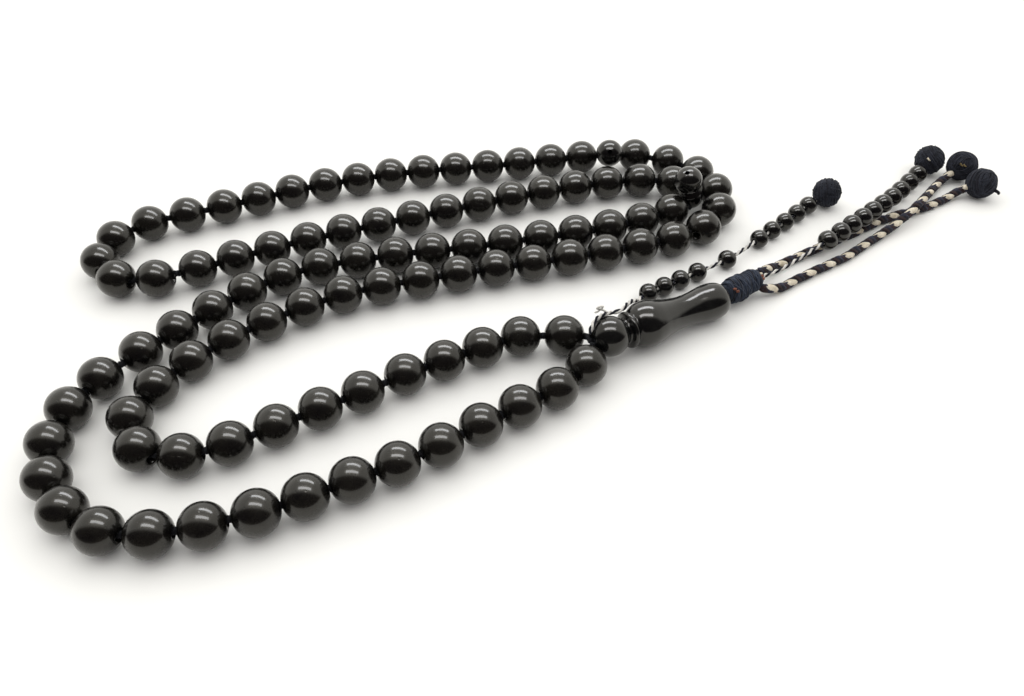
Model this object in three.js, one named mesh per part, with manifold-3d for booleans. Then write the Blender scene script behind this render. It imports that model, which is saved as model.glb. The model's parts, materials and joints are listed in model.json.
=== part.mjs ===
// Misbaha: 99 prayer beads on a closed string, two dividers, a turned leader and a knotted tassel.
// Millimetres, +Z up, standing surface at z = 0, lying flat as it rests on a table.
import * as THREE from 'three';
import Module from 'manifold-3d';
import { mergeVertices } from 'three/addons/utils/BufferGeometryUtils.js';

// ---- driving dimensions -------------------------------------------------------------------
const BEAD_R = 5;            // main bead, 10 mm
const BORE_R = 1;            // drilled hole in a main bead
const STRING_R = 0.5;        // main string
const SMALL_R = [2.5, 2.7];  // counters on string one and string two
const SMALL_BORE_R = 1.2;
const THREAD_R = 0.55;       // twisted cord that the counters slide on
const BRAID_R = 1.2;         // thick braid
const BALL_R = [4.45, 4.6, 4.6, 4.6];
const CORD_STEPS = 36;       // lengths that each free cord is made of
const SIDES = 8;             // sides of a bead, with a flat underneath
// steps along a bead and its width there, as shares of its radius
const BEAD_SHAPE = [[-0.88, 0.36], [-0.38, 1], [0.38, 1], [0.88, 0.36]];
const COUNTER_SHAPE = [[-0.8, 0.7], [-0.36, 1], [0.36, 1], [0.8, 0.7]];
const BEAD_HALF = 4.4;       // from the middle of a main bead to its drilled end

const LEADER = { head: [16.6, -15.9, 6.45], end: [47.35, 0.9, 4.65], bore: 1.1 };
const NECK = { front: [48.4, 2.6, 4.3], back: [57.9, 9.4, 4.3], radius: 3.6 };
const DIVIDER = { base: 3.3, bore: 1, reach: 9.3, tip: 4, collar: 3.6 };

const BLACK = { color: 0x14140f, roughness: 0.25, metalness: 0 };
const BLACK_CORD = { color: 0x17171a, roughness: 0.9, metalness: 0 };
const NAVY_YARN = { color: 0x161c2e, roughness: 0.95, metalness: 0 };
const BRAID = { color: 0x2a2830, roughness: 0.9, metalness: 0 };
const TWIST = { color: 0x6a675f, roughness: 0.9, metalness: 0 };

// ---- places on the table (x, y of bead centres; the beads of a run are spaced evenly) --------
const RUNS = {
  beads_front_upper: { count: 4, via: [[-4.9, -14.2], [-14, -18.2], [-23.2, -22.8], [-31.9, -27.4]] },
  beads_row_four: {
    count: 22,
    via: [[-41, -33.1], [-58.5, -43.2], [-67.2, -48.2], [-76.8, -51.8], [-86.7, -50.1],
      [-91.6, -41], [-88.6, -31.2], [-82.8, -22.6], [-67.7, -8.7], [-50.1, 1.9], [-30.5, 7.9],
      [-10.7, 12.9], [9.2, 17.6], [28.6, 22.8], [38.1, 26.1]],
  },
  beads_right_bend: {
    count: 5,
    via: [[47.3, 31.6], [53.2, 40.3], [54.2, 50.9], [50.3, 60.8], [42, 67.8]],
  },
  beads_row_one: {
    count: 12,
    via: [[15, 70.1], [-4.7, 66.3], [-24.4, 63.1], [-44.2, 59.6], [-63.5, 53.9], [-73, 50.2],
      [-91.2, 42.1]],
  },
  beads_left_loop: {
    count: 6,
    via: [[-100.8, 37.9], [-110, 33.9], [-117.4, 26.4], [-118.2, 15.7], [-111, 8.1], [-100.9, 8.3]],
  },
  beads_row_two: {
    count: 15,
    via: [[-91, 12.6], [-73.4, 21.2], [-54.8, 29.3], [-35.7, 36.3], [-16.7, 43.4], [2.7, 49.9],
      [22.3, 55.1], [32.1, 56.4], [41.8, 55.2]],
  },
  beads_row_three: {
    count: 16,
    via: [[39.3, 39.8], [30.5, 35.4], [21, 31.9], [1.3, 26.7], [-18.6, 22.2], [-38.5, 18.6],
      [-58.3, 13.6], [-67.6, 9.2], [-75.8, 2.7], [-89.6, -12.2], [-95.9, -19.8]],
  },
  beads_left_bend: {
    count: 8,
    via: [[-102.4, -28.7], [-106.3, -38.2], [-106.5, -48.6], [-103, -58.3], [-96.4, -66.2],
      [-87.4, -70.9], [-77.5, -71.5], [-67.8, -69.6]],
  },
  beads_lower_row: { count: 4, via: [[-58, -66.5], [-48.8, -62.5], [-31, -54]] },
  beads_front_lower: { count: 4, via: [[-22.2, -48.9], [-13.7, -43], [-5.1, -37.5], [3.4, -32]] },
};
const LONE_BEADS = {
  bead_first: { at: [5.8, -14], along: [1, 0.02] },
  bead_before_divider: { at: [31.9, 71.1], along: [-1, 0] },
  bead_last: { at: [10.5, -24.5], along: [0.69, 0.73] },
};
const DIVIDERS = {
  divider_one: { at: [23.4, 70.9, 5], along: [-1, 0.07, 0], tip: [-0.06, -0.82, 0.57] },
  divider_two: { at: [46.25, 47, 5], along: [-0.24, -0.85, -0.47], tip: [-0.28, -0.43, 0.86] },
};

// free cords, from where each leaves its knot to the ball it ends in
const UPPER_BRAID = [
  [59, 11.9, 4.2], [60.9, 13.3, 3.9], [62.8, 15.4, 2.7], [65.2, 17.6, 1.7], [68, 19.7, 1.3],
  [72.4, 22.4, 1.3], [78.4, 26.1, 1.3], [84.8, 29.9, 1.3], [91.1, 33.6, 1.3], [96.1, 36.8, 1.3],
  [100.4, 39.6, 1.3], [106, 42.6, 1.3], [111.2, 44.7, 1.3], [115.6, 46.4, 1.3], [121.6, 49.8, 1.3],
  [127, 53.2, 1.5], [130.2, 54.9, 2.4],
];
const LOWER_BRAID = [
  [59.9, 7.7, 3.5], [61.4, 7.2, 2.6], [63.4, 8, 1.8], [65.6, 9.4, 1.4], [68.1, 11.2, 1.3],
  [74.3, 15.3, 1.3], [80.8, 19.3, 1.3], [87.1, 23.3, 1.3], [92.8, 28, 1.3], [98.8, 32.6, 1.6],
  [104.7, 37, 2.5], [109.6, 41, 3.6], [113, 44.4, 4.1], [116.1, 48, 3.8], [119.9, 53, 2.5],
  [124.2, 58.5, 1.6], [127, 61.2, 1.8], [129.2, 62.8, 2.6],
];
const THREAD_ONE = [
  [24.4, -3.4, 7.4], [24.7, -1.9, 5.6], [25.1, -0.1, 3.9], [25.9, 1.9, 2.85], [27.2, 3.9, 2.55],
  [28.9, 5.2, 2.55], [31.1, 6.7, 2.55], [33.4, 8, 2.55], [38.1, 10.9, 2.55], [43.2, 14.1, 2.55],
  [52.3, 19.8, 2.55], [63.2, 29.4, 2.55], [67.8, 33.7, 2.55], [72.5, 37.9, 2.55],
  [77, 42.2, 2.55], [81.3, 46.1, 2.75], [83.5, 47.6, 3.1],
];
const THREAD_TWO = [
  [59.3, 9.6, 4.5], [61.1, 10.7, 4.5], [63.6, 12, 4.5], [66.4, 13.7, 4.6], [69.8, 16.3, 4.8],
  [75.2, 20.5, 5.1], [80.7, 24.8, 5.4], [85.3, 28.4, 5.6], [89.5, 32, 5.7], [93.7, 35.6, 5.6],
  [97.7, 39.2, 5.5], [102.3, 43.8, 4.8], [107.2, 49.2, 3.6], [111.5, 54, 3], [115.8, 58.8, 2.8],
  [120, 63.4, 2.85], [121.8, 65.3, 3.2],
];
const COUNTERS = {
  one: [[28.9, 5.2, 2.55], [33.4, 8, 2.55], [38.1, 10.9, 2.55], [43.2, 14.1, 2.55],
    [52.3, 19.8, 2.55], [63.2, 29.4, 2.55], [67.8, 33.7, 2.55], [72.5, 37.9, 2.55],
    [77, 42.2, 2.55], [81.3, 46.1, 2.75]],
  two: [[80.7, 24.8, 5.4], [85.3, 28.4, 5.6], [89.5, 32, 5.7], [93.7, 35.6, 5.6],
    [97.7, 39.2, 5.5], [102.3, 43.8, 4.8], [107.2, 49.2, 3.6], [111.5, 54, 3],
    [115.8, 58.8, 2.8], [120, 63.4, 2.85]],
};
const BALLS = {
  ball_counter_one: { at: [87.6, 50.3, 4.45], r: BALL_R[0] },
  ball_counter_two: { at: [125, 68.8, 4.65], r: BALL_R[1] },
  ball_upper_braid: { at: [135.9, 55.2, 4.6], r: BALL_R[2] },
  ball_lower_braid: { at: [134, 65.3, 4.6], r: BALL_R[3] },
};
// thread laid over the leader, as steps along it, to its side and up from the middle of its ball
const LOOP_THREAD = [
  [-5.3, 1, 2], [-4.3, 1.9, 3.6], [-2, 3, 4.6], [1.2, 3.6, 4.4], [4, 3.8, 4.1], [6, 4.1, 4],
  [8.2, 5.3, 4], [10, 6.2, 3.3], [11.6, 6.8, 2.3],
];

// ---- shape helpers -------------------------------------------------------------------------
const v3 = (p) => new THREE.Vector3(...p);
const wasm = await Module();
wasm.setup();

// ring of points round `centre`, square to `axis`, with a flat of the polygon facing down
function ring(centre, axis, radius, sides) {
  const up = Math.abs(axis.z) > 0.9 ? new THREE.Vector3(1, 0, 0) : new THREE.Vector3(0, 0, 1);
  const side = new THREE.Vector3().crossVectors(axis, up).normalize();
  const top = new THREE.Vector3().crossVectors(side, axis).normalize();
  const corner = radius / Math.cos(Math.PI / sides);
  return Array.from({ length: sides }, (_, i) => {
    const a = ((i + 0.5) * 2 * Math.PI) / sides;
    return centre.clone()
      .addScaledVector(side, corner * Math.cos(a))
      .addScaledVector(top, corner * Math.sin(a));
  });
}

// skin over rings; a closed loop of rings is a bored piece, an open one is capped at both ends
function skin(rings, closed) {
  const n = rings[0].length;
  const position = rings.flat().flatMap((p) => [p.x, p.y, p.z]);
  const index = [];
  const bands = closed ? rings.length : rings.length - 1;
  for (let b = 0; b < bands; b++) {
    const lower = b * n;
    const upper = ((b + 1) % rings.length) * n;
    for (let i = 0; i < n; i++) {
      const j = (i + 1) % n;
      index.push(lower + i, upper + j, lower + j, lower + i, upper + i, upper + j);
    }
  }
  if (!closed) {
    const last = (rings.length - 1) * n;
    for (let i = 1; i < n - 1; i++) index.push(0, i, i + 1, last, last + i + 1, last + i);
  }
  const geometry = new THREE.BufferGeometry();
  geometry.setAttribute('position', new THREE.Float32BufferAttribute(position, 3));
  geometry.setIndex(index);
  return geometry;
}

// outer rings of bored beads one after another, then the bore back to the start
function boredBeads(beads, shape, radius, bore) {
  const outside = beads.flatMap(({ at, along }) => shape.map(([a, r]) => (
    ring(at.clone().addScaledVector(along, a * radius), along, r * radius, SIDES))));
  const ends = [shape[shape.length - 1][0], shape[0][0]];
  const inside = beads.slice().reverse().flatMap(({ at, along }) => ends.map((a) => (
    ring(at.clone().addScaledVector(along, a * radius), along, bore, SIDES))));
  return skin([...outside, ...inside], true);
}

// string straight through each piece in turn, bending only between them
function stringThrough(pieces) {
  const rings = pieces.flatMap(({ at, along, half = BEAD_HALF }) => [-half, half].map((a) => (
    ring(at.clone().addScaledVector(along, a), along, STRING_R, 6))));
  return skin(rings, false);
}

function round(radius, sides) {
  const points = Array.from({ length: sides }, (_, i) => {
    const a = ((i + 0.5) * 2 * Math.PI) / sides;
    return new THREE.Vector2(radius * Math.cos(a), radius * Math.sin(a));
  });
  return new THREE.Shape(points);
}

function cord(points, radius, steps) {
  const path = new THREE.CatmullRomCurve3(points.map(v3), false, 'centripetal');
  return new THREE.ExtrudeGeometry(round(radius, 8), { extrudePath: path, steps });
}

// turned piece: [along, radius] outline about its own axis, from `start` towards `toward`
function turned(outline, segments, start, toward) {
  const geometry = new THREE.LatheGeometry(outline.map(([a, r]) => new THREE.Vector2(r, a)), segments);
  const axis = v3(toward).sub(v3(start)).normalize();
  geometry.applyQuaternion(new THREE.Quaternion().setFromUnitVectors(new THREE.Vector3(0, 1, 0), axis));
  return geometry.translate(...start);
}

function toSolid(geometry) {
  const bare = geometry.clone();
  ['normal', 'uv'].forEach((name) => bare.deleteAttribute(name));
  const merged = mergeVertices(bare, 1e-4);
  return new wasm.Manifold(new wasm.Mesh({
    numProp: 3,
    vertProperties: new Float32Array(merged.attributes.position.array),
    triVerts: new Uint32Array(merged.index.array),
  }));
}

function fromSolid(solid) {
  const { vertProperties, triVerts } = solid.getMesh();
  const geometry = new THREE.BufferGeometry();
  geometry.setAttribute('position', new THREE.BufferAttribute(vertProperties, 3));
  geometry.setIndex(new THREE.BufferAttribute(triVerts, 1));
  return geometry;
}

// ---- assembly ------------------------------------------------------------------------------
const misbaha = new THREE.Group();

function add(name, geometry, finish) {
  const mesh = new THREE.Mesh(geometry, new THREE.MeshStandardMaterial(finish));
  mesh.name = name;
  misbaha.add(mesh);
}

// beads of one run: evenly spaced along a smooth line, each bored along the line
function runBeads({ count, via }) {
  const line = new THREE.CatmullRomCurve3(via.map(([x, y]) => new THREE.Vector3(x, y, BEAD_R)));
  line.arcLengthDivisions = 600;
  const places = Array.from({ length: count }, (_, i) => line.getPointAt(i / (count - 1)));
  return places.map((at, i) => {
    const before = places[Math.max(i - 1, 0)];
    const after = places[Math.min(i + 1, count - 1)];
    return { at, along: after.clone().sub(before).normalize() };
  });
}

function loneBead({ at, along }) {
  return { at: v3([...at, BEAD_R]), along: v3([...along, 0]).normalize() };
}

function addMainBeads() {
  const first = loneBead(LONE_BEADS.bead_first);
  first.along.negate();
  const { at, along } = DIVIDERS.divider_one;
  const divider = { at: v3(at), along: v3(along).normalize(), half: DIVIDER.base };
  const before = {
    beads_front_upper: [first],
    beads_row_one: [loneBead(LONE_BEADS.bead_before_divider), divider],
  };
  const after = { beads_front_lower: [loneBead(LONE_BEADS.bead_last)] };
  for (const [name, run] of Object.entries(RUNS)) {
    const beads = runBeads(run);
    add(name, boredBeads(beads, BEAD_SHAPE, BEAD_R, BORE_R), BLACK);
    const pieces = [...(before[name] ?? []), ...beads, ...(after[name] ?? [])];
    add(name.replace('beads', 'string'), stringThrough(pieces), BLACK_CORD);
  }
  for (const [name, bead] of Object.entries(LONE_BEADS)) {
    add(name, boredBeads([loneBead(bead)], BEAD_SHAPE, BEAD_R, BORE_R), BLACK);
  }
}

// ball tip on a ringed neck, above a barrel that the string passes through crosswise
function addDividers() {
  const { base, bore, reach, tip, collar } = DIVIDER;
  const dome = [-0.78, -0.35, 0.1, 0.5, 0.82].map((s) => [reach + s * tip, tip * Math.sqrt(1 - s * s)]);
  const outline = [
    [-base, 0], [-0.9 * base, 0.45 * base], [-0.5 * base, 0.87 * base], [0, base],
    [0.5 * base, 0.85 * base], [0.9 * base, 0.55 * base], [3.9, 1.7],
    [4.3, 0.93 * collar], [5.1, collar], [5.7, 0.85 * collar], ...dome,
    [reach + 0.98 * tip, 0.6], [reach + 0.6 * tip, 0.5], [reach + 0.5 * tip, 0],
  ];
  for (const [name, { at, along, tip: aim }] of Object.entries(DIVIDERS)) {
    const centre = v3(at);
    const across = v3(along).normalize();
    const pointing = v3(aim).addScaledVector(across, -v3(aim).dot(across)).normalize();
    const body = toSolid(turned(outline, 12, at, centre.clone().add(pointing).toArray()));
    const hole = skin([-6, 6].map((a) => (
      ring(centre.clone().addScaledVector(across, a), across, bore, SIDES))), false);
    add(name, fromSolid(body.subtract(toSolid(hole))), BLACK);
  }
}

// one turned piece: ball, grooved ring, swelling body, narrow waist and flared end, bored through
function addLeader() {
  const ball = [-0.95, -0.75, -0.4, 0, 0.4, 0.72].map((s) => [5 * s, 5 * Math.sqrt(1 - s * s)]);
  const body = [
    [4.1, 3], [4.6, 3], [4.9, 4.4], [5.7, 4.6], [6.2, 4.3], [6.5, 3.6], [7, 4.6], [8.5, 5.5],
    [10.6, 5.85], [12.8, 5.6], [15.8, 4.85], [18.8, 4.2], [22, 3.95], [25, 4.15], [28.2, 4.65],
    [31, 4.8], [33.2, 4.5], [34.6, 3.6], [35.1, 2.3],
  ];
  const bore = [[35.1, LEADER.bore], [-4.75, LEADER.bore]];
  const outline = [...ball, ...body, ...bore, ball[0]];
  add('leader', turned(outline, 12, LEADER.head, LEADER.end), BLACK);

  const head = v3(LEADER.head);
  const axis = v3(LEADER.end).sub(head).normalize();
  const inner = [-4.4, 34.7].map((a) => ring(head.clone().addScaledVector(axis, a), axis, 0.7, SIDES));
  add('string_in_leader', skin(inner, false), BLACK_CORD);
  const side = new THREE.Vector3(-axis.y, axis.x, 0).normalize();
  const up = new THREE.Vector3().crossVectors(axis, side);
  const loop = LOOP_THREAD.map(([a, s, u]) => head.clone()
    .addScaledVector(axis, a).addScaledVector(side, s).addScaledVector(up, u).toArray());
  add('loop_thread', cord(loop, THREAD_R, 16), TWIST);
}

function addNeck() {
  const front = v3(NECK.front);
  const length = front.distanceTo(v3(NECK.back));
  const r = NECK.radius;
  const outline = [
    [0, 0], [0, 0.55 * r], [0.08 * length, 0.85 * r], [0.25 * length, r], [0.55 * length, 0.94 * r],
    [0.8 * length, r], [0.95 * length, 0.86 * r], [length, 0.6 * r], [length, 0],
  ];
  add('neck_wrap', turned(outline, 12, NECK.front, NECK.back), NAVY_YARN);
}

function addTassel() {
  add('braid_upper', cord(UPPER_BRAID, BRAID_R, CORD_STEPS), BRAID);
  add('braid_lower', cord(LOWER_BRAID, BRAID_R, CORD_STEPS), BRAID);
  add('thread_one', cord(THREAD_ONE, THREAD_R, CORD_STEPS), TWIST);
  add('thread_two', cord(THREAD_TWO, THREAD_R, CORD_STEPS), TWIST);
  for (const [name, { at, r }] of Object.entries(BALLS)) {
    const ball = new THREE.SphereGeometry(r, 12, 8);
    ball.rotateX(Math.PI / 2);
    add(name, ball.translate(...at), NAVY_YARN);
  }
}

function addCounters(word, places, route, radius) {
  const line = new THREE.CatmullRomCurve3(route.map(v3), false, 'centripetal');
  const samples = line.getPoints(800);
  places.forEach((place, i) => {
    const at = v3(place);
    let near = 1;
    samples.forEach((p, k) => {
      if (k > 0 && k < 800 && p.distanceTo(at) < samples[near].distanceTo(at)) near = k;
    });
    const along = samples[near + 1].clone().sub(samples[near - 1]).normalize();
    const bead = boredBeads([{ at: samples[near], along }], COUNTER_SHAPE, radius, SMALL_BORE_R);
    add(`counter_${word}_${i + 1}`, bead, BLACK);
  });
}

addMainBeads();
addDividers();
addLeader();
addNeck();
addTassel();
addCounters('one', COUNTERS.one, THREAD_ONE, SMALL_R[0]);
addCounters('two', COUNTERS.two, THREAD_TWO, SMALL_R[1]);

export default misbaha;
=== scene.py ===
import json
import math
import random

import bpy
import numpy as np
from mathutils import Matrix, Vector


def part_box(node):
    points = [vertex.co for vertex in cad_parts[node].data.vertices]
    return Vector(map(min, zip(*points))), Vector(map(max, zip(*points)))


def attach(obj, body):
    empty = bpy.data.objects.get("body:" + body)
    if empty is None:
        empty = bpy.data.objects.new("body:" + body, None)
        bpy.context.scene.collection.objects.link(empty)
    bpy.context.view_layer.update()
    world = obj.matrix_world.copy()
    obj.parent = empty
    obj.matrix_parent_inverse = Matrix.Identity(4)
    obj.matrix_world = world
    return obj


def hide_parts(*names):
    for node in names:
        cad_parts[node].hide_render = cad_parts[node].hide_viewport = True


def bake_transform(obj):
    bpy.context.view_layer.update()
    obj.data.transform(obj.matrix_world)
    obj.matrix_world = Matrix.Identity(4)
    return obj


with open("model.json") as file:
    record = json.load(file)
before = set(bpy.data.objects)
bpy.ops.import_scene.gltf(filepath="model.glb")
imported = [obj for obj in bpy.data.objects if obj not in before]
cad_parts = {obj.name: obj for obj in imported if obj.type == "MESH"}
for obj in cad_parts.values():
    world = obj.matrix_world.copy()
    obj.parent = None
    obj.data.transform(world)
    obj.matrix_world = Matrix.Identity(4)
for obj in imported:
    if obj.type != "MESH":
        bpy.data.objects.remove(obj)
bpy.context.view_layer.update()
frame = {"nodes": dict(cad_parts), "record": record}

MM = 0.001
BODY_OF = {n: b for b, ns in frame["record"]["behaviour"]["bodies"].items() for n in ns}

# ---- sizes and places, in millimetres -------------------------------------------------------
BEAD_R = 5.0
BEAD_BORE = 1.05        # radius of the hole, as all bores here
BEAD_FACETS = (24, 40)  # along the outline and round it
BEAD_SPREAD = (0.985, 1.0)
LONE_BEAD_SHARE = 0.995
HOLE_EDGE = 0.035       # how far the round shape stops short of the hole, as a share of radius
HOLE_INSET = 0.16
COUNTER_R = {"one": 2.6, "two": 2.75}
COUNTER_BORE = 0.85
COUNTER_FACETS = (19, 32)
COUNTER_SQUASH = 0.95   # counters are a little shorter along the string than across it
COUNTERS = 10           # on each string
STRING_R = 0.92
STRING_PITCH = 2.6
STRING_STEP = 0.7
DIVIDER_BORE = 0.95
LEADER_BORE = 1.1
BRAID_R = 1.2
BRAID_PITCH = 7.5
BRAID_FACING = 0.84     # direction that the braid's pads face, from its top, in radians
BRAID_LAY = 0.55        # how far out the strands lie, as a share of the braid's radius
BRAID_DWELL = 0.28      # how much longer a strand stays at the pads than between them
STRAND_THICK = 0.4
BRAID_STRANDS = (       # share of a turn, width, and how far the strand comes out at the pads
    (0.0, 0.7, 0.12), (0.29, 0.82, -0.12), (0.5, 0.82, -0.12), (0.71, 0.82, -0.12),
)
THREAD_R = 0.55
THREAD_PITCH = 3.6
CURL_R = 0.25
CORD_STEP = 0.3
BALL_YARN_R = 0.3
BALL_BANDS = 5
BALL_CORE = 0.84        # share of the ball's radius
BALL_SEED = 11
NECK_SEED = 5
LEADER_HEAD = (16.6, -15.9, 6.45)
LEADER_END = (47.35, 0.9, 4.65)
NECK_FRONT = (48.4, 2.6, 4.3)
NECK_BACK = (57.9, 9.4, 4.3)
DIVIDERS = {
    "divider_one": ((23.4, 70.9, 5), (-1, 0.07, 0), (-0.06, -0.82, 0.57)),
    "divider_two": ((46.25, 47, 5), (-0.24, -0.85, -0.47), (-0.28, -0.43, 0.86)),
}
BALLS = {
    "ball_counter_one": ((87.6, 50.3, 4.45), 4.45),
    "ball_counter_two": ((125, 68.8, 4.65), 4.6),
    "ball_upper_braid": ((135.9, 55.2, 4.6), 4.6),
    "ball_lower_braid": ((134, 65.3, 4.6), 4.6),
}
NECK_PROFILE = ((0, 0.08, 0.25, 0.45, 0.6, 0.72, 0.85, 0.95, 1),      # share of the length
                (1.9, 2.7, 3.15, 3.2, 2.6, 2.75, 2.8, 2.4, 1.7))      # radius there
NECK_LAYERS = (   # turns, slant, yarn radius and finish of each layer
    (19, 0.25, 0.3, 0), (7, 1.0, 0.24, 0), (6, 0.7, 0.27, 3), (4, 1.3, 0.22, 0),
)
FLECKS = {   # direction from the middle of the ball, and finish
    "ball_counter_two": [((-0.47, -0.76, 0.46), 2)],
    "ball_lower_braid": [((-0.3, -0.82, 0.48), 3), ((-0.52, -0.74, 0.5), 3)],
}
UPPER_BRAID = [
    (59, 11.9, 4.2), (60.9, 13.3, 3.9), (62.8, 15.4, 2.7), (65.2, 17.6, 1.7), (68, 19.7, 1.3),
    (72.4, 22.4, 1.3), (78.4, 26.1, 1.3), (84.8, 29.9, 1.3), (91.1, 33.6, 1.3), (96.1, 36.8, 1.3),
    (100.4, 39.6, 1.3), (106, 42.6, 1.3), (111.2, 44.7, 1.3), (115.6, 46.4, 1.3),
    (121.6, 49.8, 1.3), (127, 53.2, 1.5), (130.2, 54.9, 2.4), (132.6, 55.3, 3.2),
]
LOWER_BRAID = [
    (58.9, 6.9, 3.1), (60.1, 6.95, 2.8), (61.4, 7.2, 2.5), (63.4, 8, 1.8), (65.6, 9.4, 1.4),
    (68.1, 11.2, 1.3),
    (74.3, 15.3, 1.3), (80.8, 19.3, 1.3), (87.1, 23.3, 1.3), (92.8, 28, 1.3), (98.8, 32.6, 1.6),
    (104.7, 37, 2.5), (109.6, 41, 3.6), (113, 44.4, 4.1), (116.1, 48, 3.8), (119.9, 53, 2.5),
    (124.2, 58.5, 1.6), (127, 61.2, 1.8), (129.2, 62.8, 2.6), (131.2, 64, 3.3),
]
THREAD_ONE = [
    (24.4, -3.4, 7.4), (24.7, -1.9, 5.6), (25.1, -0.1, 3.9), (25.9, 1.9, 2.85), (27.2, 3.9, 2.55),
    (28.9, 5.2, 2.55), (31.1, 6.7, 2.55), (33.4, 8, 2.55), (38.1, 10.9, 2.55),
    (43.2, 14.1, 2.55), (52.3, 19.8, 2.55), (63.2, 29.4, 2.55), (67.8, 33.7, 2.55),
    (72.5, 37.9, 2.55), (77, 42.2, 2.55), (81.3, 46.1, 2.75), (83.5, 47.6, 3.1), (85.2, 48.8, 3.6),
]
THREAD_TWO = [
    (59.3, 9.6, 4.5), (61.1, 10.7, 4.5), (63.6, 12, 4.5), (66.4, 13.7, 4.6), (69.8, 16.3, 4.8),
    (75.2, 20.5, 5.1), (80.7, 24.8, 5.4), (85.3, 28.4, 5.6), (89.5, 32, 5.7), (93.7, 35.6, 5.6),
    (97.7, 39.2, 5.5), (102.3, 43.8, 4.8), (107.2, 49.2, 3.6), (111.5, 54, 3),
    (115.8, 58.8, 2.8), (120, 63.4, 2.85), (121.8, 65.3, 3.2), (123.2, 66.8, 3.7),
]
# These two are measured from the leader's head: along the leader, sideways and up.
LOOP_THREAD = [
    (-5.3, 1, 2), (-4.2, 1.9, 3.5), (-2, 2.9, 4.45), (1.2, 3.35, 4.3), (4, 3.5, 3.7),
    (6, 3.9, 3.65), (8.2, 5, 3.6), (10, 5.95, 3), (11.6, 6.8, 2.3),
]
CURLED_END = [
    (1.2, 3.2, 4.5), (0.4, 3.7, 5.0), (-0.7, 4.4, 5.5), (-1.7, 4.3, 6.1), (-1.2, 4.0, 6.7),
    (-0.1, 4.1, 6.2), (-0.3, 4.5, 5.3), (-1.4, 4.3, 5.0), (-2.2, 4.1, 5.2),
]
ROOT_PITCH = 4.0
ROOTS = (   # name, the two bodies that it joins, radius and route
    ("root_leader", "leader", "neck", 0.95,
     [(45.95, 0.15, 4.73), (47.5, 1.3, 4.55), (48.4, 2.6, 4.3), (49.2, 3.2, 4.3)]),
    ("root_upper", "neck", "upper_braid", 1.05,
     [(57.2, 9.2, 4.3), (58.1, 10.8, 4.2), (59, 11.9, 4.2), (60.2, 12.8, 4.0)]),
    ("root_lower", "neck", "upper_braid", 1.05,
     [(57.0, 8.7, 4.1), (57.8, 7.5, 3.6), (58.9, 6.9, 3.1), (60.2, 7, 2.8)]),
    ("root_thread", "neck", "upper_braid", 0.5,
     [(57.4, 9.2, 4.3), (58.4, 9.4, 4.4), (59.3, 9.6, 4.5), (60.2, 10.1, 4.5)]),
)

# ---- camera and lights, in metres, degrees and watts ------------------------------------------
CAMERA_AT = (-0.007, -0.167, 0.1444)
CAMERA_TILT = 46.81
CAMERA_LENS = 29.75
CAMERA_SENSOR = 36
CAMERA_NEAR = 0.005
LIGHTS = {   # place, size, power, colour, and whether it is for gloss only
    "strip_near": ((0.0, -0.036, 0.34), (0.36, 0.075), 0.86, (0.93, 0.95, 1), True),
    "strip_far": ((0.0, 0.175, 0.245), (0.32, 0.065), 0.77, (0.91, 0.94, 1), True),
    "soft_above": ((0.0, 0.05, 1.5), (6.0, 6.0), 95, (1, 1, 1), False),
}
FLOOR_REACH = 4.0
TENT_FACING = (0, 0.97, 0.24)
TENT_DIM = (0.055, 0.045, 0.046, 1)
TENT_BRIGHT = (1.2, 1.19, 1.14, 1)
BACKDROP = (0.93, 0.93, 0.93, 1)


# ---- camera ---------------------------------------------------------------------------------
def make_camera():
    data = bpy.data.cameras.new("camera")
    data.sensor_width = CAMERA_SENSOR
    data.lens = CAMERA_LENS
    data.clip_start = CAMERA_NEAR
    camera = bpy.data.objects.new("camera", data)
    camera.location = CAMERA_AT
    camera.rotation_euler = (math.radians(CAMERA_TILT), 0, 0)
    bpy.context.scene.collection.objects.link(camera)
    bpy.context.scene.camera = camera


make_camera()


# ---- shapes ---------------------------------------------------------------------------------
def unit(v):
    v = np.asarray(v, float)
    return v / np.linalg.norm(v)


def frame_of(axis):
    """Two directions square to an axis, the second one as near up as it can be."""
    axis = unit(axis)
    up = np.array([1.0, 0, 0]) if abs(axis[2]) > 0.9 else np.array([0, 0, 1.0])
    side = unit(np.cross(axis, up))
    return side, np.cross(side, axis)


def distances(path):
    """How far along a path each of its points is."""
    return np.concatenate([[0], np.cumsum(np.linalg.norm(np.diff(path, axis=0), axis=1))])


def rows_unit(vectors):
    """Each row of an array of vectors, made one long."""
    return vectors / np.linalg.norm(vectors, axis=1)[:, None]


def spline(points, step):
    """Points a step apart on a centripetal Catmull-Rom curve through the given ones."""
    p = np.asarray(points, float)
    p = np.vstack([2 * p[0] - p[1], p, 2 * p[-1] - p[-2]])
    fine = []
    for a, b, c, d in zip(p[:-3], p[1:-2], p[2:-1], p[3:]):
        t = np.cumsum([0] + [max(np.linalg.norm(v), 1e-6) ** 0.5 for v in (b - a, c - b, d - c)])
        for u in np.linspace(t[1], t[2], 24, endpoint=False):
            ab = a + (b - a) * (u - t[0]) / (t[1] - t[0])
            bc = b + (c - b) * (u - t[1]) / (t[2] - t[1])
            cd = c + (d - c) * (u - t[2]) / (t[3] - t[2])
            low = ab + (bc - ab) * (u - t[0]) / (t[2] - t[0])
            high = bc + (cd - bc) * (u - t[1]) / (t[3] - t[1])
            fine.append(low + (high - low) * (u - t[1]) / (t[2] - t[1]))
    fine.append(p[-2])
    fine = np.array(fine)
    run = distances(fine)
    count = max(2, int(round(run[-1] / step)) + 1)
    at = np.linspace(0, run[-1], count)
    return np.stack([np.interp(at, run, fine[:, k]) for k in range(3)], axis=1)


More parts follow.
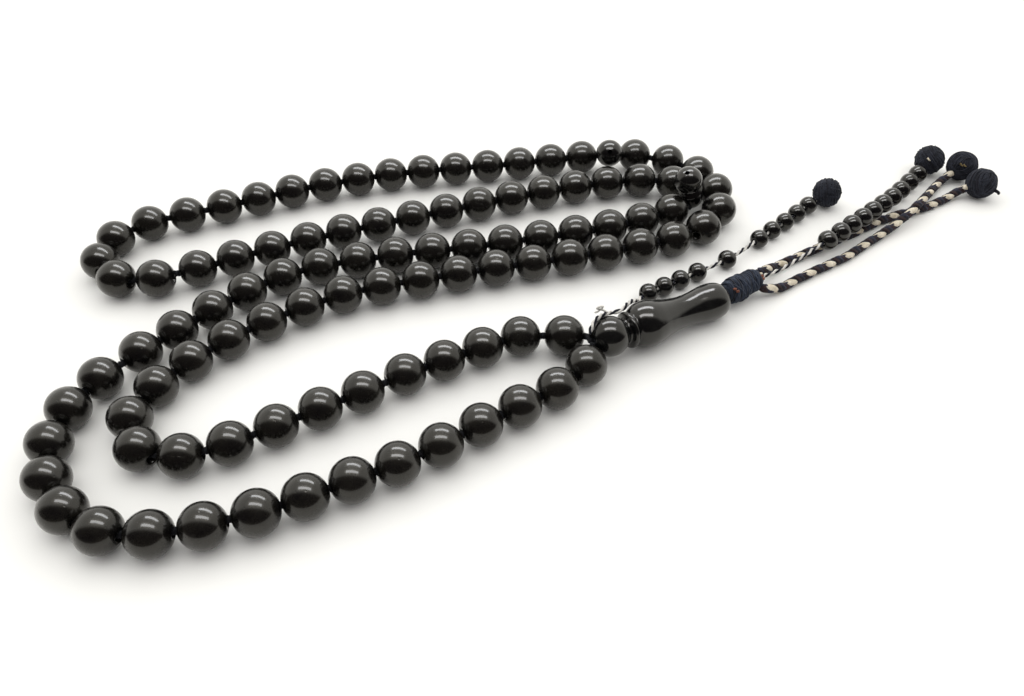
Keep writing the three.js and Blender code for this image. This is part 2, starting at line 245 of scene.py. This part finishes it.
def frames_along(path, up=(0, 0, 1)):
    """Side and top direction at each point of a path, with the top kept near up."""
    tangent = rows_unit(np.gradient(path, axis=0))
    side = rows_unit(np.cross(tangent, np.asarray(up, float)))
    return side, np.cross(side, tangent)


def length_of(path):
    return float(np.linalg.norm(np.diff(path, axis=0), axis=1).sum())


class Shape:
    """Collects skins over rings of points, in millimetres, and makes one mesh of them."""

    def __init__(self):
        self.points, self.faces, self.finish = [], [], []
        self.count = 0

    def skin(self, rings, closed=False, finish=0):
        """A closed skin joins the last ring to the first; an open one gets two end faces."""
        rings = np.asarray(rings, float)
        rows, sides = rings.shape[:2]
        start = self.count
        self.points.append(rings.reshape(-1, 3))
        self.count += rows * sides
        for r in range(rows if closed else rows - 1):
            below, above = start + r * sides, start + ((r + 1) % rows) * sides
            for i in range(sides):
                j = (i + 1) % sides
                self.faces.append((below + i, below + j, above + j, above + i))
                self.finish.append(finish)
        if not closed:
            last = start + (rows - 1) * sides
            for face in (range(start + sides - 1, start - 1, -1), range(last, last + sides)):
                self.faces.append(tuple(face))
                self.finish.append(finish)

    def make(self, name, materials):
        mesh = bpy.data.meshes.new(name)
        mesh.from_pydata((np.vstack(self.points) * MM).tolist(), [], self.faces)
        for m in materials:
            mesh.materials.append(m)
        mesh.polygons.foreach_set("material_index", self.finish)
        mesh.polygons.foreach_set("use_smooth", [True] * len(mesh.polygons))
        mesh.update()
        piece = bpy.data.objects.new(name, mesh)
        bpy.context.scene.collection.objects.link(piece)
        return piece


def circle(centre, side, top, radius, sides):
    a = np.arange(sides) * 2 * math.pi / sides
    return centre + radius * (np.cos(a)[:, None] * side + np.sin(a)[:, None] * top)


def turned_rings(outline, start, axis, sides):
    """Rings of a turned piece, from its outline as pairs of place along the axis and radius."""
    axis = unit(axis)
    side, top = frame_of(axis)
    start = np.asarray(start, float)
    return [circle(start + a * axis, side, top, r, sides) for a, r in outline]


def tube_rings(path, radius, sides, up=(0, 0, 1)):
    side, top = frames_along(path, up)
    radius = np.broadcast_to(radius, len(path))
    return [circle(p, s, t, r, sides) for p, s, t, r in zip(path, side, top, radius)]


def smooth_outline(points):
    """About five times as many points, on a smooth line through the given ones."""
    flat = [(a, r, 0) for a, r in points]
    step = length_of(np.array(flat, float)) / (5 * len(points))
    return [(p[0], p[1]) for p in spline(flat, step)]


# ---- materials --------------------------------------------------------------------------------
class Nodes:
    """Short way to write a material's node tree."""

    def __init__(self, name):
        self.material = bpy.data.materials.new(name)
        self.material.use_nodes = True
        self.tree = self.material.node_tree
        self.tree.nodes.clear()
        self.out = self.tree.nodes.new("ShaderNodeOutputMaterial")
        self.shader = self.tree.nodes.new("ShaderNodeBsdfPrincipled")
        self.tree.links.new(self.shader.outputs[0], self.out.inputs["Surface"])
        self.coords = self.tree.nodes.new("ShaderNodeTexCoord")

    def add(self, kind, **values):
        node = self.tree.nodes.new(kind)
        for key, value in values.items():
            if hasattr(node, key):
                setattr(node, key, value)
            else:
                node.inputs[key.replace("_", " ")].default_value = value
        return node

    def link(self, source, target):
        self.tree.links.new(source, target)

    def set(self, **values):
        for key, value in values.items():
            self.shader.inputs[key.replace("_", " ")].default_value = value

    def noise(self, scale, detail, rough, vector=None, distortion=0.0):
        node = self.add("ShaderNodeTexNoise", Scale=scale, Detail=detail, Roughness=rough,
                        Distortion=distortion)
        self.link(vector or self.coords.outputs["Object"], node.inputs["Vector"])
        return node.outputs["Fac"]

    def stretched(self, scale, rotation):
        node = self.add("ShaderNodeMapping", Scale=scale, Rotation=rotation)
        self.link(self.coords.outputs["Object"], node.inputs["Vector"])
        return node.outputs["Vector"]

    def ramp(self, value, stops):
        node = self.tree.nodes.new("ShaderNodeValToRGB")
        elements = node.color_ramp.elements
        while len(elements) < len(stops):
            elements.new(0.5)
        for element, (place, colour) in zip(elements, stops):
            element.position = place
            element.color = (*colour, 1)
        self.link(value, node.inputs["Fac"])
        return node.outputs["Color"]

    def range(self, value, low, high, to_low, to_high):
        node = self.add("ShaderNodeMapRange")
        for i, v in ((1, low), (2, high), (3, to_low), (4, to_high)):
            node.inputs[i].default_value = v
        self.link(value, node.inputs[0])
        return node.outputs[0]

    def mix(self, factor, a, b):
        node = self.tree.nodes.new("ShaderNodeMix")
        node.data_type = "RGBA"
        for socket, value in ((node.inputs[0], factor), (node.inputs[6], a), (node.inputs[7], b)):
            if isinstance(value, bpy.types.NodeSocket):
                self.link(value, socket)
            else:
                socket.default_value = (*value, 1) if isinstance(value, tuple) else value
        return node.outputs[2]

    def math(self, operation, a, b):
        node = self.add("ShaderNodeMath", operation=operation)
        for socket, value in zip(node.inputs, (a, b)):
            if isinstance(value, bpy.types.NodeSocket):
                self.link(value, socket)
            else:
                socket.default_value = value
        return node.outputs[0]

    def bump(self, height, distance, strength=1.0, below=None):
        node = self.add("ShaderNodeBump", Strength=strength, Distance=distance)
        self.link(height, node.inputs["Height"])
        if below is not None:
            self.link(below, node.inputs["Normal"])
        return node.outputs["Normal"]

    def finish(self, colour=None, roughness=None, normal=None):
        for source, name in ((colour, "Base Color"), (roughness, "Roughness"), (normal, "Normal")):
            if source is not None:
                self.link(source, self.shader.inputs[name])
        return self.material


def polished_black(name, dark, olive, rough, scratch=1.0, ior=1.37):
    """Gloss under a thin clear coat, with clouds, smudges, fine scratches and pits."""
    n = Nodes(name)
    n.set(IOR=ior, Specular_Tint=(1.0, 0.945, 0.82, 1), Coat_Weight=0.5, Coat_IOR=1.5,
          Coat_Roughness=0.07, Coat_Tint=(1.0, 0.98, 0.95, 1))
    cloud = n.noise(260, 4, 0.6)
    base = n.ramp(cloud, [(0.32, dark), (0.72, olive)])
    streaks = n.noise(1.0, 2, 0.6, n.stretched((220, 1900, 500), (0.3, 0.5, 0.9)))
    streak_mask = n.range(streaks, 0.7, 0.78, 0.0, 1.0)
    pits = n.add("ShaderNodeTexVoronoi", Scale=520.0)
    n.link(n.coords.outputs["Object"], pits.inputs["Vector"])
    pit_mask = n.range(pits.outputs["Distance"], 0.05, 0.14, 1.0, 0.0)
    wear = n.math("MAXIMUM", streak_mask, pit_mask)
    colour = n.mix(wear, base, (0.003, 0.003, 0.003))
    smudge = n.noise(420, 5, 0.65)
    roughness = n.range(smudge, 0.3, 0.75, rough - 0.03, rough + 0.06)
    height = n.math("MULTIPLY", wear, -scratch)
    normal = n.bump(height, 0.00003)
    normal = n.bump(n.noise(700, 2, 0.5), 0.0000015, 0.5, normal)
    return n.finish(colour, roughness, normal)


def yarn(name, dark, light, sheen):
    """Dull fibres in patches of two tones."""
    n = Nodes(name)
    n.set(Sheen_Weight=sheen, Sheen_Roughness=0.5, Sheen_Tint=(0.6, 0.63, 0.7, 1), IOR=1.4,
          Specular_IOR_Level=0.15)
    fibres = n.noise(2600, 5, 0.7, distortion=0.4)
    patch = n.noise(500, 2, 0.5)
    blend = n.math("MULTIPLY", fibres, patch)
    colour = n.ramp(blend, [(0.12, dark), (0.42, light)])
    roughness = n.range(fibres, 0.2, 0.8, 0.82, 0.98)
    normal = n.bump(fibres, 0.00012, 0.8)
    return n.finish(colour, roughness, normal)


BEAD = polished_black("bead_black", (0.0015, 0.0014, 0.0018), (0.0065, 0.006, 0.0048), 0.26)
LEADER = polished_black("leader_black", (0.0016, 0.0018, 0.0024), (0.0055, 0.006, 0.006),
                        0.17, 0.6, 1.34)
COUNTER = polished_black("counter_black", (0.0015, 0.0016, 0.002), (0.0045, 0.0045, 0.005),
                         0.2, 0.5)
STRING = yarn("main_string", (0.004, 0.004, 0.005), (0.012, 0.012, 0.014), 0.08)
NAVY = yarn("navy_yarn", (0.006, 0.0065, 0.009), (0.03, 0.033, 0.046), 0.14)
SLATE = yarn("slate_yarn", (0.01, 0.01, 0.017), (0.042, 0.042, 0.065), 0.1)
CHARCOAL = yarn("charcoal_yarn", (0.005, 0.005, 0.008), (0.022, 0.022, 0.03), 0.12)
BROWN = yarn("brown_yarn", (0.01, 0.006, 0.006), (0.04, 0.024, 0.024), 0.12)
CREAM = yarn("cream_yarn", (0.42, 0.36, 0.26), (0.8, 0.74, 0.62), 0.2)
PALE = yarn("pale_thread", (0.4, 0.39, 0.36), (0.78, 0.76, 0.72), 0.2)
WRAP = yarn("wrap_yarn", (0.0102, 0.0127, 0.0204), (0.0425, 0.0536, 0.0808), 0.16)
COPPER = yarn("copper_thread", (0.07, 0.024, 0.016), (0.25, 0.095, 0.06), 0.12)
GOLD = yarn("gold_thread", (0.06, 0.045, 0.018), (0.2, 0.15, 0.07), 0.12)


# ---- pieces -------------------------------------------------------------------------------------
def place(piece, body, slot, *nodes):
    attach(piece, body)
    if nodes:
        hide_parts(*nodes)
    return piece


def laid(path, radius, pitch, first_pad, sides=16):
    """Flat strands laid round each other. The first one shows as pads between the others."""
    side, top = frames_along(path)
    turn = 2 * math.pi * (distances(path) - first_pad) / pitch + BRAID_FACING
    shape = Shape()
    a = np.arange(sides) * 2 * math.pi / sides
    for finish, (share, wide, wave) in enumerate(BRAID_STRANDS):
        angle = turn + 2 * math.pi * share
        angle = angle - BRAID_DWELL * np.sin(2 * (angle - BRAID_FACING))
        shown = np.cos(2 * (angle - BRAID_FACING))
        reach = radius * (BRAID_LAY + wave * shown)
        out = np.cos(angle)[:, None] * top + np.sin(angle)[:, None] * side
        line = path + reach[:, None] * out
        across = rows_unit(np.cross(rows_unit(np.gradient(line, axis=0)), out))
        fibres = 0.05 * np.cos(6 * a[None, :] + 3 * turn[:, None])
        puff = radius * (1 + 0.1 * np.cos(2 * turn)[:, None] + fibres)
        rings = (line[:, None, :]
                 + (wide * puff * np.cos(a))[:, :, None] * across[:, None, :]
                 + (STRAND_THICK * puff * np.sin(a))[:, :, None] * out[:, None, :])
        shape.skin(rings, finish=finish)
    return shape


def twisted(shape, path, radius, pitch, finishes, sides=10, up=(0, 0, 1)):
    """Round plies laid round each other."""
    side, top = frames_along(path, up)
    run = distances(path)
    plies = len(finishes)
    share = math.sin(math.pi / plies)
    ply = radius * share / (1 + share)
    for k, finish in enumerate(finishes):
        angle = 2 * math.pi * (run / pitch + k / plies)
        line = path + (radius - ply) * (
            np.cos(angle)[:, None] * side + np.sin(angle)[:, None] * top)
        shape.skin(tube_rings(line, 1.12 * ply, sides, up), finish=finish)
    return shape


def flats_under(node):
    """Middles of the beads of a run, found from the flats that they stand on, in order."""
    mesh = frame["nodes"][node].data
    flats = []
    for face in mesh.polygons:
        corners = {tuple(round(c / MM, 2) for c in mesh.vertices[v].co) for v in face.vertices}
        if max(c[2] for c in corners) < 0.02:
            touching = [f for f in flats if f & corners]
            flats = [f for f in flats if f not in touching] + [corners.union(*touching)]
    middles = [np.array([*np.mean([c[:2] for c in flat], axis=0), BEAD_R]) for flat in flats]
    if len(middles) < 3:
        return middles
    near = [sorted(np.linalg.norm(a - b) for b in middles)[2] for a in middles]
    order = [middles.pop(int(np.argmax(near)))]
    while middles:
        order.append(middles.pop(nearest(middles, order[-1])))
    return order


def nearest(places, at):
    return int(np.argmin([np.linalg.norm(p - at) for p in places]))


def end_near(name, at):
    """The bead of a run that is nearest to a place."""
    return centres[name][nearest(centres[name], np.asarray(at, float))]


def bead_outline(radius, bore, steps, squash):
    """Round bead with a drilled hole whose edge is softened."""
    lip = math.asin((bore + HOLE_EDGE * radius) / radius)
    arc = [(-squash * radius * math.cos(t), radius * math.sin(t))
           for t in np.linspace(lip, math.pi - lip, steps)]
    end = squash * radius * math.cos(lip) - HOLE_INSET
    return [(-end, bore)] + arc + [(end, bore)]


def add_bead(shape, at, along, radius, bore, steps, sides, squash=1.0):
    outline = bead_outline(radius, bore, steps, squash)
    shape.skin(turned_rings(outline, at, along, sides), closed=True)


random.seed(7)
RUNS = ("beads_front_upper", "beads_row_four", "beads_right_bend", "beads_row_one",
        "beads_left_loop", "beads_row_two", "beads_row_three", "beads_left_bend",
        "beads_lower_row", "beads_front_lower")
centres = {name: flats_under(name) for name in RUNS}
for name, places in centres.items():
    shape = Shape()
    for i, at in enumerate(places):
        along = places[min(i + 1, len(places) - 1)] - places[max(i - 1, 0)]
        size = BEAD_R * random.uniform(*BEAD_SPREAD)
        add_bead(shape, at + (0, 0, size - BEAD_R), along, size, BEAD_BORE, *BEAD_FACETS)
    place(shape.make(name.replace("beads", "bead_run"), [BEAD]), BODY_OF[name], "bead_black", name)

LONE = {   # beads in nodes of their own, and the direction of their holes
    "bead_first": (1, 0.02, 0),
    "bead_before_divider": (-1, 0, 0),
    "bead_last": (0.69, 0.73, 0),
}
for name, along in LONE.items():
    centres[name] = flats_under(name)
    shape = Shape()
    add_bead(shape, centres[name][0], along, BEAD_R * LONE_BEAD_SHARE, BEAD_BORE, *BEAD_FACETS)
    place(shape.make(name + "_round", [BEAD]), BODY_OF[name], "bead_black", name)


def middle_of(node):
    low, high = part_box(node)
    return np.array(low + high) / 2 / MM


for word in ("one", "two"):
    names = [f"counter_{word}_{i + 1}" for i in range(COUNTERS)]
    places = [middle_of(name) for name in names]
    for i, name in enumerate(names):
        along = places[min(i + 1, COUNTERS - 1)] - places[max(i - 1, 0)]
        shape = Shape()
        add_bead(shape, places[i], along, COUNTER_R[word], COUNTER_BORE, *COUNTER_FACETS,
                 COUNTER_SQUASH)
        place(shape.make(name + "_round", [COUNTER]), BODY_OF[name], "counter_black", name)


def add_leader():
    """The leader's outline as pairs of place along it and radius, closed through its bore."""
    ball = [(5 * math.cos(t), 5 * math.sin(t)) for t in np.linspace(math.pi - 0.3, 0.88, 22)]
    ring = [(3.6, 3.25), (4.1, 3.1), (4.5, 3.1), (4.68, 3.4), (4.8, 4.25), (5.0, 4.52),
            (5.3, 4.62), (5.6, 4.6), (5.85, 4.42), (5.95, 4.2), (6.2, 4.12), (6.4, 4.0),
            (6.55, 3.95), (6.75, 4.2)]
    body = smooth_outline([(7.0, 4.55), (8.5, 5.42), (10.6, 5.85), (12.8, 5.6), (15.8, 4.85),
                           (18.8, 4.22), (22, 3.95), (25, 4.12), (28.2, 4.62), (31, 4.82),
                           (33, 4.55), (34.3, 3.85), (34.95, 2.95), (35.1, 2.0), (34.95, 1.3)])
    bore = [(34.6, LEADER_BORE), (-4.5, LEADER_BORE), (-4.7, 1.25)]
    axis = np.array(LEADER_END) - LEADER_HEAD
    shape = Shape()
    shape.skin(turned_rings(ball + ring + body + bore, LEADER_HEAD, axis, 72), closed=True)
    place(shape.make("leader_turned", [LEADER]), "leader", "leader_black", "leader")


def add_dividers():
    """Bead, ringed neck and tip of each divider, drilled across where the string goes through."""
    ball = [(9.3 + 4 * math.cos(t), 4 * math.sin(t))
            for t in np.linspace(math.pi - 0.62, 0.17, 20)]
    base = [(3.3 * math.cos(t), 3.3 * math.sin(t)) for t in np.linspace(math.pi - 0.05, 0.55, 16)]
    neck = [(3.2, 1.75), (3.45, 1.65), (3.7, 1.75), (3.9, 2.6), (4.1, 3.3), (4.35, 3.56),
            (4.7, 3.56), (5.0, 3.3), (5.25, 2.75), (5.5, 2.4), (5.8, 2.3)]
    tip = [(13.1, 0.6), (12.7, 0.5), (11.6, 0.45), (11.3, 0.1)]
    for name, (at, along, aim) in DIVIDERS.items():
        across = unit(along)
        pointing = unit(np.array(aim) - np.dot(aim, across) * across)
        shape = Shape()
        shape.skin(turned_rings(base + neck + ball + tip, at, pointing, 48))
        body = shape.make(name + "_turned", [COUNTER])
        cutter = Shape()
        path = np.array([np.array(at) + a * across for a in (-6, 0, 6)])
        cutter.skin(tube_rings(path, DIVIDER_BORE, 20, up=pointing))
        tool = cutter.make("divider_drill", [COUNTER])
        cut = body.modifiers.new("drilled", "BOOLEAN")
        cut.object = tool
        cut.operation = "DIFFERENCE"
        cut.solver = "EXACT"
        graph = bpy.context.evaluated_depsgraph_get()
        body.data = bpy.data.meshes.new_from_object(body.evaluated_get(graph))
        body.modifiers.clear()
        bpy.data.objects.remove(tool)
        for face in body.data.polygons:
            face.use_smooth = True
        body.data.set_sharp_from_angle(angle=math.radians(40))
        place(body, name, "divider_black", name)


add_leader()
add_dividers()


# ---- main string: through each run, across each fold, through the dividers, to the leader -------
def string_piece(name, points, body=None, *nodes):
    """A length of the main string. With no body given, it is left unplaced."""
    shape = twisted(Shape(), spline(points, STRING_STEP), STRING_R, STRING_PITCH, (0, 0, 0))
    piece = shape.make(name, [STRING])
    if body:
        place(piece, body, "main_string", *nodes)
    return piece


for name, places in centres.items():
    if len(places) < 2:
        continue
    node = name.replace("beads", "string")
    string_piece(node.replace("string", "string_run"), places, BODY_OF[name], node)


def ends_of(a, b):
    """The two bead middles, one of each run, that are nearest to each other."""
    pairs = [(np.linalg.norm(p - q), i, j) for i, p in enumerate(centres[a])
             for j, q in enumerate(centres[b])]
    _, i, j = min(pairs)
    return centres[a][i], centres[b][j]


LINKS = (   # name, two runs, and the bodies of the joint between them
    ("front_to_row_four", "beads_front_upper", "beads_row_four", "field", "front"),
    ("row_four_to_bend", "beads_row_four", "beads_right_bend", "field", "right_bend"),
    ("bend_to_row_one", "bead_before_divider", "beads_right_bend", "field", "right_bend"),
    ("row_one_to_loop", "beads_row_one", "beads_left_loop", "field", "left_loop"),
    ("loop_to_row_two", "beads_row_two", "beads_left_loop", "field", "left_loop"),
    ("row_three_to_bend", "beads_row_three", "beads_left_bend", "field", "left_bend"),
    ("bend_to_lower_row", "beads_lower_row", "beads_left_bend", "field", "left_bend"),
    ("lower_row_to_front", "beads_lower_row", "beads_front_lower", "field", "front"),
)
for name, one, two, parent, child in LINKS:
    a, b = ends_of(one, two)
    if BODY_OF[one] != parent:
        a, b = b, a
    piece = string_piece("string_" + name, [a, (a * 2 + b) / 3, (a + 2 * b) / 3, b])
    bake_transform(piece)

head = np.array(LEADER_HEAD)
d_one, d_two = (np.array(DIVIDERS[n][0], float) for n in ("divider_one", "divider_two"))
first, last, before = (centres[n][0] for n in ("bead_first", "bead_last", "bead_before_divider"))
string_piece("string_divider_one", [before, d_one + (3, -0.2, 0), d_one - (3, -0.2, 0),
                                    end_near("beads_row_one", d_one)], "field")
row_two_end = end_near("beads_row_two", d_two)
row_three_end = end_near("beads_row_three", d_two)
lean = unit(DIVIDERS["divider_two"][1])
string_piece("string_divider_two",
             [row_two_end, row_two_end + (4.6, -1.5, 0.5), d_two - 3.4 * lean,
              d_two + 3.4 * lean, row_three_end + (4, 3, 0), row_three_end], "field")
string_piece("string_to_first_bead", [end_near("beads_front_upper", head), first,
                                      first + (5.3, -0.8, 0.5), head - (4.3, 1.9, 0)], "front")
string_piece("string_to_last_bead", [end_near("beads_front_lower", head), last,
                                     last + (1.6, 5.2, 0.7), head - (4.1, 2.5, 0.2)], "front")


# ---- tassel -----------------------------------------------------------------------------------
def free_cord(piece, body, slot, node):
    place(piece, body, slot, node)


def wound_ball(name, centre, radius, seed, body, flecks, loose_end):
    """A core with yarn wound round it in bands that cross."""
    rng = random.Random(seed)
    centre = np.array(centre, float)
    shape = Shape()
    core = [(radius * BALL_CORE * math.cos(t), radius * BALL_CORE * math.sin(t))
            for t in np.linspace(math.pi - 0.06, 0.06, 14)]
    shape.skin(turned_rings(core, centre, (0, 0, 1), 24))
    a = np.linspace(0, 2 * math.pi, 49)[:-1]
    for band in range(BALL_BANDS):
        axis = unit([rng.uniform(-1, 1), rng.uniform(-1, 1), rng.uniform(-1, 1)])
        side, top = frame_of(axis)
        reach = radius - BALL_YARN_R - 0.13 * (BALL_BANDS - 1 - band)
        for k in range(-6, 7):
            offset = k * 0.5 + rng.uniform(-0.12, 0.12)
            if abs(offset) > reach - 0.6:
                continue
            lean = rng.uniform(-0.12, 0.12)
            wobble = 0.14 * np.sin(3 * a + rng.uniform(0, 6)) + lean * np.cos(a) * 2
            away = offset + wobble
            swell = reach + 0.1 * np.sin(2 * a + rng.uniform(0, 6)) - 0.1
            ring_r = np.sqrt(np.maximum(swell ** 2 - away ** 2, 0.2))
            line = (centre + away[:, None] * axis
                    + ring_r[:, None] * (np.cos(a)[:, None] * side + np.sin(a)[:, None] * top))
            out = rows_unit(line - centre)
            tangent = rows_unit(np.roll(line, -1, axis=0) - np.roll(line, 1, axis=0))
            across = np.cross(tangent, out)
            b = np.arange(8) * 2 * math.pi / 8
            rings = (line[:, None, :] + BALL_YARN_R * np.cos(b)[None, :, None] * out[:, None, :]
                     - BALL_YARN_R * 1.05 * np.sin(b)[None, :, None] * across[:, None, :])
            shape.skin(rings, closed=True, finish=1 if (k + band) % 4 == 0 else 0)
    for aim, finish in flecks:
        out = unit(aim)
        side, top = frame_of(out)
        at = centre + out * (radius - 0.25)
        line = spline([at - side * 0.5 - top * 0.2, at + out * 0.2,
                       at + side * 0.5 + top * 0.35], 0.2)
        shape.skin(tube_rings(line, np.linspace(0.15, 0.32, len(line)), 8, up=out), finish=finish)
    if loose_end:
        out = unit([0.72, -0.66, -0.15])
        at = centre + out * (radius - 0.4)
        line = spline([at, at + out * 0.8, at + out * 1.2 + (0.3, 0, -0.3),
                       at + out * 1.1 + (0.55, 0.15, -0.75)], 0.2)
        shape.skin(tube_rings(line, np.linspace(0.55, 0.4, len(line)), 8), finish=1)
    piece = shape.make(name + "_wound", [NAVY, CHARCOAL, CREAM, GOLD])
    return place(piece, body, "ball_yarn", name)


for i, (name, (centre, radius)) in enumerate(BALLS.items()):
    wound_ball(name, centre, radius, BALL_SEED + i, BODY_OF[name],
                             FLECKS.get(name, ()), name == "ball_upper_braid")


def wound_neck():
    """Thread wound round all the cords, with brown and pale ends showing at both ends."""
    rng = random.Random(NECK_SEED)
    front, back = np.array(NECK_FRONT), np.array(NECK_BACK)
    length = float(np.linalg.norm(back - front))
    axis = (back - front) / length
    side, top = frame_of(axis)

    def radius_at(x):
        return np.interp(np.clip(x / length, 0, 1), *NECK_PROFILE)

    shape = Shape()
    core = [(x, float(radius_at(x)) - 0.3) for x in np.linspace(0.05, length - 0.05, 24)]
    shape.skin(turned_rings(core, front, axis, 24))
    for layer, (turns, slant, yarn_r, finish) in enumerate(NECK_LAYERS):
        t = np.linspace(0, 1, turns * 26)
        angle = 2 * math.pi * turns * t * (-1) ** layer + rng.uniform(0, 6)
        sway = slant * np.sin(angle + rng.uniform(0, 6)) + 0.2 * np.sin(1.7 * angle)
        x = np.clip(length * (0.04 + 0.92 * t) + sway, 0.2, length - 0.2)
        reach = radius_at(x) + 0.07 * layer - 0.02 + 0.13 * np.sin(2.3 * angle + 9 * t)
        line = (front + x[:, None] * axis
                + reach[:, None] * (np.cos(angle)[:, None] * side + np.sin(angle)[:, None] * top))
        shape.skin(tube_rings(line, yarn_r, 8, up=axis + 0.01 * side), finish=finish)
    for x, angle, finish in ((0.9, -0.95, 1), (1.3, -0.68, 1), (length - 0.25, -0.85, 1),
                             (length - 0.1, -1.15, 2), (length - 0.4, -0.55, 1)):
        out = math.cos(angle) * side - math.sin(angle) * top
        at = front + x * axis + out * (float(radius_at(x)) + 0.3)
        line = spline([at - axis * 0.35, at + out * 0.12, at + axis * 0.35 + side * 0.2], 0.2)
        shape.skin(tube_rings(line, 0.36, 8, up=out), finish=finish)
    piece = shape.make("neck_wound", [WRAP, COPPER, CREAM, NAVY])
    place(piece, "neck", "neck_yarn", "neck_wrap")


wound_neck()


def cord_roots():
    """Short ends that join the leader, the neck wrap and the cords."""
    for name, one, two, radius, points in ROOTS:
        shape = twisted(Shape(), spline(points, 0.25), radius, ROOT_PITCH, (0, 1, 0))
        piece = shape.make(name, [CHARCOAL, BROWN])
        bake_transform(piece)


cord_roots()

for name, points, body, first_pad in (   # first_pad: how far along the first pale pad is
    ("braid_upper", UPPER_BRAID, "upper_braid", 4.0),
    ("braid_lower", LOWER_BRAID, "lower_braid", 2.9),
):
    path = spline(points, CORD_STEP)
    shape = laid(path, BRAID_R, BRAID_PITCH, first_pad)
    piece = shape.make(name + "_laid", [CREAM, SLATE, BROWN, CHARCOAL])
    free_cord(piece, body, "braid", name)

for name, points, body, word in (
    ("thread_one", THREAD_ONE, "string_one", "one"),
    ("thread_two", THREAD_TWO, "string_two", "two"),
):
    path = spline(points, CORD_STEP)
    shape = twisted(Shape(), path, THREAD_R, THREAD_PITCH, (0, 1))
    piece = shape.make(name + "_twist", [PALE, CHARCOAL])
    free_cord(piece, body, "twisted_thread", name)


def add_loop():
    """Thread tied over the leader's head, with its curled end."""
    axis = unit(np.array(LEADER_END) - LEADER_HEAD)
    side = unit((-axis[1], axis[0], 0))
    up = np.cross(axis, side)
    points = [head + a * axis + s * side + u * up for a, s, u in LOOP_THREAD]
    path = spline(points, CORD_STEP)
    shape = twisted(Shape(), path, THREAD_R, THREAD_PITCH, (0, 1), up=axis + 0.02 * side)
    curl = spline([head + a * axis + s * side + u * up for a, s, u in CURLED_END], 0.2)
    shape.skin(tube_rings(curl, CURL_R, 6, up=axis + 0.3 * side), finish=0)
    place(shape.make("loop_twist", [PALE, CHARCOAL]), "leader", "twisted_thread", "loop_thread")


add_loop()
leader_string = frame["nodes"]["string_in_leader"]
leader_string.data.materials.clear()
leader_string.data.materials.append(STRING)


# ---- stage --------------------------------------------------------------------------------------
def add_floor():
    n = Nodes("floor_white")
    n.set(Roughness=0.6, Specular_IOR_Level=0.2)
    tone = n.ramp(n.noise(3, 2, 0.5), [(0.3, (0.77, 0.765, 0.745)), (0.7, (0.8, 0.795, 0.775))])
    material = n.finish(tone)
    mesh = bpy.data.meshes.new("floor")
    signs = ((-1, -1), (1, -1), (1, 1), (-1, 1))
    corners = [(x * FLOOR_REACH, y * FLOOR_REACH, 0) for x, y in signs]
    mesh.from_pydata(corners, [], [(0, 1, 2, 3)])
    mesh.materials.append(material)
    floor = bpy.data.objects.new("floor", mesh)
    bpy.context.scene.collection.objects.link(floor)


def add_light(name, location, size, power, colour, gloss_only):
    """Flat light that lies along x and faces the middle of the object.

    The strips only make the lines of light on the beads, and the soft light above only the
    even brightness of everything that isn't glossy.
    """
    data = bpy.data.lights.new(name, "AREA")
    data.shape = "RECTANGLE"
    data.size, data.size_y = size
    data.energy = power
    data.color = colour
    light = bpy.data.objects.new(name, data)
    light.location = location
    light.rotation_euler = Vector(location).to_track_quat("Z", "Y").to_euler()
    light.visible_camera = False
    light.visible_glossy = gloss_only
    light.visible_diffuse = not gloss_only
    bpy.context.scene.collection.objects.link(light)


def add_world():
    """Pale tent round the object: bright behind, above and to the sides, dim where it opens."""
    world = bpy.data.worlds.new("tent")
    world.use_nodes = True
    tree = world.node_tree
    tree.nodes.clear()
    make, link = tree.nodes.new, tree.links.new
    coords = make("ShaderNodeTexCoord")
    toward_back = make("ShaderNodeVectorMath")
    toward_back.operation = "DOT_PRODUCT"
    toward_back.inputs[1].default_value = TENT_FACING
    link(coords.outputs["Generated"], toward_back.inputs[0])
    ramp = make("ShaderNodeMapRange")
    for i, v in ((1, -0.13), (2, 0.08), (3, 0.0), (4, 1.0)):
        ramp.inputs[i].default_value = v
    link(toward_back.outputs["Value"], ramp.inputs[0])
    tone = make("ShaderNodeMix")
    tone.data_type = "RGBA"
    tone.inputs[6].default_value = TENT_DIM
    tone.inputs[7].default_value = TENT_BRIGHT
    link(ramp.outputs[0], tone.inputs[0])
    room, seen, mix = (make(k) for k in ("ShaderNodeBackground", "ShaderNodeBackground",
                                         "ShaderNodeMixShader"))
    link(tone.outputs[2], room.inputs["Color"])
    seen.inputs["Color"].default_value = BACKDROP
    link(make("ShaderNodeLightPath").outputs["Is Camera Ray"], mix.inputs["Fac"])
    link(room.outputs[0], mix.inputs[1])
    link(seen.outputs[0], mix.inputs[2])
    link(mix.outputs[0], make("ShaderNodeOutputWorld").inputs["Surface"])
    bpy.context.scene.world = world


add_floor()
add_world()
for name, settings in LIGHTS.items():
    add_light(name, *settings)
bpy.context.scene.view_settings.view_transform = "Standard"
